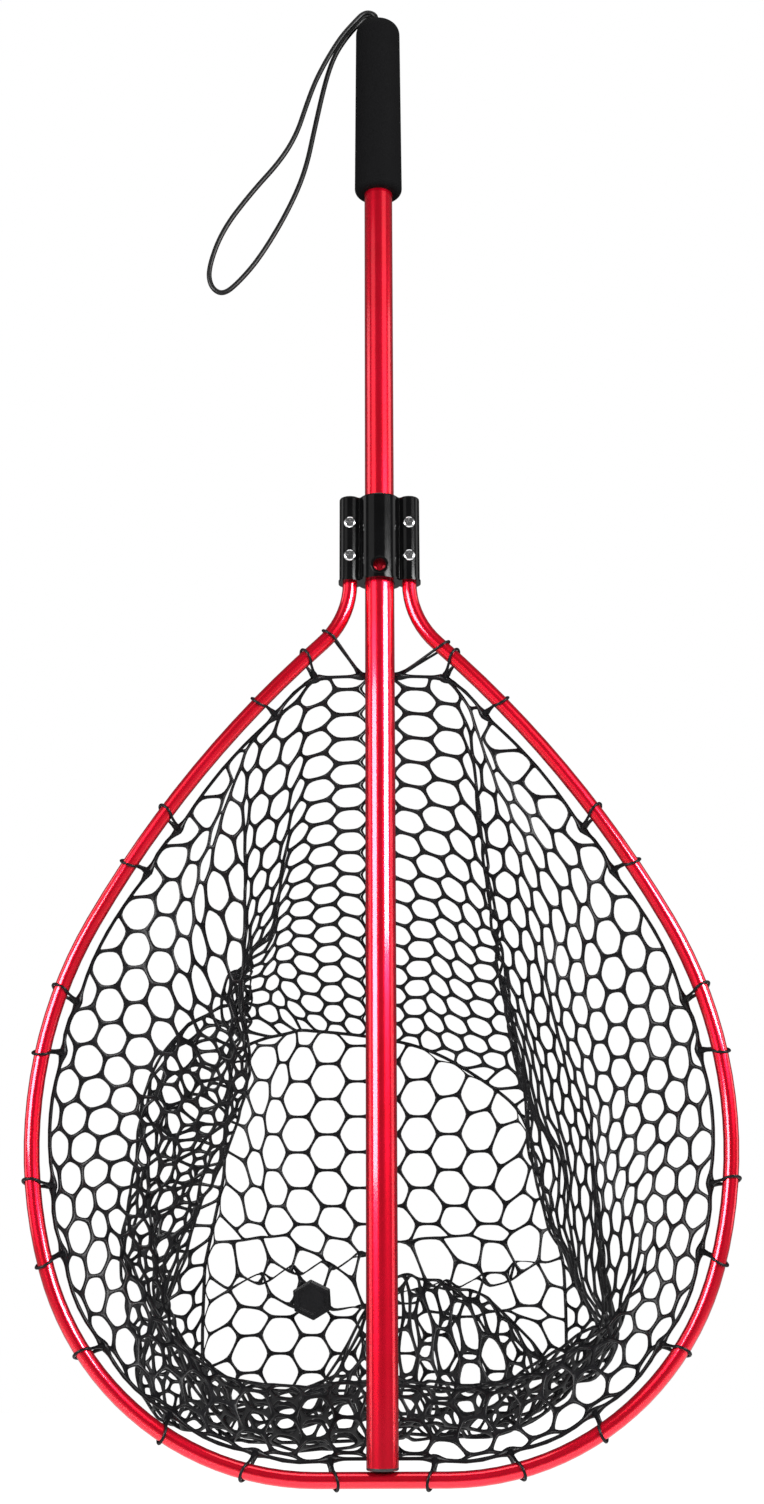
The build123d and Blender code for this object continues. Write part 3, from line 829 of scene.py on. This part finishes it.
def flat_lookup(flat, triangles, places):
    """A function from a flat place on the panel to its place in the hung panel."""
    corners = flat[np.array(triangles)]
    a, b, c = corners[:, 0], corners[:, 1], corners[:, 2]
    v0, v1 = b - a, c - a
    area = v0[:, 0] * v1[:, 1] - v0[:, 1] * v1[:, 0]

    def place(point):
        p = point - a
        s = (p[:, 0] * v1[:, 1] - p[:, 1] * v1[:, 0]) / area
        t = (v0[:, 0] * p[:, 1] - v0[:, 1] * p[:, 0]) / area
        inside = np.argmax(np.minimum(np.minimum(s, t), 1 - s - t))
        i, j, k = triangles[inside]
        s, t = s[inside], t[inside]
        return (1 - s - t) * places[i] + s * places[j] + t * places[k]
    return place


def panel_cells(flat, triangles, places):
    """The panel's mesh of larger cells, cut off at the seam."""
    place = flat_lookup(flat, triangles, places)
    edge = flat[:AROUND]
    mesh = CellMesh(PANEL_STRAND_HALF, PANEL_WEB)
    across = PANEL_CELL * math.cos(math.radians(30))
    side = PANEL_CELL / math.sqrt(3)
    count = int(PANEL_REACH / across)
    for i in range(-count, count + 1):
        for j in range(-count, count + 1):
            middle = np.array([i * across, (j + 0.5 * (i % 2)) * PANEL_CELL])
            if inside_by(edge, middle)[0] < -0.3 * PANEL_CELL:
                continue
            keys, points = [], []
            for k in range(6):
                turn = math.radians(60 * k)
                point = middle + side * np.array([math.cos(turn), math.sin(turn)])
                depth, nearest = inside_by(edge, point)
                if depth < 0.002:
                    point = nearest
                keys.append((round(point[0] * 2e3), round(point[1] * 2e3)))
                points.append(point)
            mesh.cell(keys, [place(p) for p in points])
    return mesh.finished("bag_panel", PANEL_MESH_T)


def rim_loop(node, distance, right, splay):
    """Points of one strand from a border node round the hoop's tube and back."""
    centre, along = hoop_place(distance)
    if not right:
        centre, along = mirrored(centre), mirrored(along)
    inward = Vector((along.z, 0, -along.x)) * (1 if right else -1)
    reach = node - centre
    near, back, down = reach.dot(inward), reach.y, reach.dot(along)
    ring = HOOP_D / 2 + LOOP_R + LOOP_GAP
    middle = math.atan2(back, near)
    tangent = math.acos(ring / math.hypot(near, back))
    first, last = middle - tangent, middle + tangent - math.tau
    points = [node]
    for k in range(17):
        share = k / 16
        turn = first + (last - first) * share
        shift = splay * math.sin(math.pi * min(1.0, 0.15 + 0.8 * share)) + down * 0.15 * (1 - share)
        points.append(centre + inward * (ring * math.cos(turn)) + Vector((0, ring * math.sin(turn), 0))
                      + along * shift)
    straight_in = [node.lerp(points[1], s) for s in (0.2, 0.4, 0.6, 0.8)]
    straight_out = [points[-1].lerp(node, s) for s in (0.2, 0.4, 0.6, 0.8)]
    return [node, *straight_in, *points[1:], *straight_out]


def held_nodes():
    """(border node, place along the hoop, right side, splay) of every loop on the hoop."""
    nodes = []
    for right, top_place in TOP_LOOPS:
        top = Vector((BORDER_HALF_GAP, MOUTH_Y, BORDER_TOP))
        nodes.append((top if right else mirrored(top), top_place, right, TOP_SPLAY))
        for n, distance in enumerate(LOOP_PLACES):
            node = border_node(distance, BORDER_INSET)
            splay = LOOP_SPLAY * (1 if n % 2 else -1)
            nodes.append((node if right else mirrored(node), distance, right, splay))
    return nodes


def panel_disc(flat, triangles, places):
    """A raised hexagonal disc moulded into the panel, with a worn edge."""
    low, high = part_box("panel_disc")
    wanted = np.array([(low.x + high.x) / 2, (low.z + high.z) / 2])
    centre = flat[np.argmin(np.linalg.norm(places[:, (0, 2)] - wanted, axis=1))]
    place = flat_lookup(flat, triangles, places)
    middle = Vector(place(centre))
    across = Vector(place(centre + (DISC_ARM, 0))) - Vector(place(centre - (DISC_ARM, 0)))
    upwards = Vector(place(centre + (0, DISC_ARM))) - Vector(place(centre - (0, DISC_ARM)))
    facing = across.cross(upwards).normalized()
    across = across.normalized()
    upwards = facing.cross(across)
    mesh = bmesh.new()
    rings = []
    for radius, height in DISC_RINGS:
        ring = []
        for k in range(6):
            turn = math.radians(60 * k + DISC_TURN)
            out = math.cos(turn) * across + math.sin(turn) * upwards
            ring.append(mesh.verts.new(middle + radius * out + height * facing))
        rings.append(ring)
    for ring, after in zip(rings, rings[1:]):
        for k in range(6):
            mesh.faces.new((ring[k], ring[(k + 1) % 6], after[(k + 1) % 6], after[k]))
    mesh.faces.new(rings[0][::-1])
    mesh.faces.new(rings[-1])
    bmesh.ops.bevel(mesh, geom=list(mesh.edges), offset=DISC_EDGE, segments=2, affect="EDGES")
    data = bpy.data.meshes.new("panel_disc_raised")
    mesh.to_mesh(data)
    mesh.free()
    piece = bpy.data.objects.new("panel_disc_raised", data)
    SCENE.collection.objects.link(piece)
    return piece


def make_bag():
    border, seam = border_points(), seam_points()
    wall = wall_start(border, gathered(seam))
    flat, triangles = panel_flat(seam_flat(seam))
    panel = panel_start(flat, seam)
    wall, panel = hang_bag(wall, panel, triangles, flat)
    half = COLUMNS // 2
    nodes = held_nodes()
    knots = [node for node, *_ in nodes]
    loops = [rim_loop(*held) for held in nodes]
    border_line = along_line(wall[0], BORDER_STEPS)
    stands_for = {
        wall_cells(wall, "bag_wall_right", range(half)): ["net_wall"],
        wall_cells(wall, "bag_wall_left", range(half, COLUMNS)): ["net_wall"],
        panel_cells(flat, triangles, panel): ["net_panel"],
        panel_disc(flat, triangles, panel): ["panel_disc"],
        tube("bag_border", [border_line], BORDER_R, True, knots): [],
        tube("bag_seam", [panel[:AROUND]], SEAM_R, True): [],
        tube("rim_strands", loops, LOOP_R, True, knots): ["rim_loops"],
    }
    for piece, solids in stands_for.items():
        piece.data.materials.append(FINISHES["net_rubber"])
        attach(piece, "head")
        if solids:
            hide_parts(*solids)


make_bag()


# ---------------------------------------------------------------- studio

FLOOR_HALF = 12.0
FLOOR_GAP = 0.01
# The floor's own glow by distance from the middle, and what part of it lights other things
FLOOR_GLOW = {"From Min": 0.45, "From Max": 1.3, "To Min": 0.80, "To Max": 1.0}
FLOOR_GLOW_UNSEEN = 0.12
ROOM_STRENGTH = 0.10

# Soft lights as (name, place, target, size, power in watts)
LIGHTS = (
    ("soft_right", (1.35, -1.30, -0.05), (0, 0, -0.30), (1.15, 0.62), 70),
    ("soft_left", (-1.35, -1.30, -0.34), (0, 0, -0.50), (1.10, 0.84), 52),
    ("high_right", (1.35, -1.30, 0.68), (0, 0, 0.10), (1.15, 0.72), 1.8),
    ("high_left", (-1.35, -1.30, 0.52), (0, 0, 0.00), (1.10, 0.80), 2.0),
    ("side_left", (-2.0, 0.1, -0.2), (0, 0, -0.5), (0.9, 2.0), 9),
    ("side_right", (2.0, 0.1, -0.2), (0, 0, -0.5), (0.9, 2.0), 9),
    ("top", (0, -0.4, 1.6), (0, 0, -0.6), (1.6, 1.2), 14),
)


def make_floor():
    """A wide pale floor, just below the hoop when the head is all the way down the tube."""
    mesh = bpy.data.meshes.new("floor")
    corners = [(-FLOOR_HALF, -FLOOR_HALF, 0), (FLOOR_HALF, -FLOOR_HALF, 0),
               (FLOOR_HALF, FLOOR_HALF, 0), (-FLOOR_HALF, FLOOR_HALF, 0)]
    mesh.from_pydata(corners, [], [(0, 1, 2, 3)])
    floor = bpy.data.objects.new("floor", mesh)
    SCENE.collection.objects.link(floor)
    floor.location.z = FLOOR_Z - HEAD_TRAVEL - FLOOR_GAP
    s = Shader("floor", Base_Color=(0.9, 0.9, 0.9, 1), Roughness=0.9, Specular_IOR_Level=0.0)
    s.surface.inputs["Emission Color"].default_value = (1, 1, 1, 1)
    length = s.node("ShaderNodeVectorMath", operation="LENGTH")
    s.links.new(s.place(), length.inputs[0])
    brighter = s.node("ShaderNodeMapRange")
    for socket, value in FLOOR_GLOW.items():
        brighter.inputs[socket].default_value = value
    s.links.new(length.outputs["Value"], brighter.inputs["Value"])
    rays = s.node("ShaderNodeLightPath")
    seen = s.node("ShaderNodeMath", operation="MAXIMUM")
    seen.inputs[1].default_value = FLOOR_GLOW_UNSEEN
    s.links.new(rays.outputs["Is Camera Ray"], seen.inputs[0])
    shown = s.node("ShaderNodeMath", operation="MULTIPLY")
    s.links.new(brighter.outputs["Result"], shown.inputs[0])
    s.links.new(seen.outputs[0], shown.inputs[1])
    s.feed(shown.outputs[0], "Emission Strength")
    mesh.materials.append(s.material)


def make_world():
    """White to the camera, and a soft grey studio to everything else."""
    world = bpy.data.worlds.new("studio")
    world.use_nodes = True
    nodes, links = world.node_tree.nodes, world.node_tree.links
    nodes.clear()
    seen = nodes.new("ShaderNodeBackground")
    seen.inputs["Color"].default_value = (1, 1, 1, 1)
    room = nodes.new("ShaderNodeBackground")
    room.inputs["Color"].default_value = (1, 1, 1, 1)
    room.inputs["Strength"].default_value = ROOM_STRENGTH
    rays = nodes.new("ShaderNodeLightPath")
    mix = nodes.new("ShaderNodeMixShader")
    output = nodes.new("ShaderNodeOutputWorld")
    links.new(rays.outputs["Is Camera Ray"], mix.inputs["Fac"])
    links.new(room.outputs[0], mix.inputs[1])
    links.new(seen.outputs[0], mix.inputs[2])
    links.new(mix.outputs[0], output.inputs[0])
    SCENE.world = world


def area_light(name, place, target, size, power):
    """A rectangular light of (width, height) at a place, aimed at a target."""
    light = bpy.data.lights.new(name, "AREA")
    light.shape = "RECTANGLE"
    light.size, light.size_y = size
    light.energy = power
    obj = bpy.data.objects.new(name, light)
    SCENE.collection.objects.link(obj)
    obj.location = place
    obj.rotation_euler = (Vector(target) - Vector(place)).to_track_quat("-Z", "Y").to_euler()


def make_studio():
    make_floor()
    make_world()
    for light in LIGHTS:
        area_light(*light)
    SCENE.view_settings.view_transform = "Standard"


make_studio()
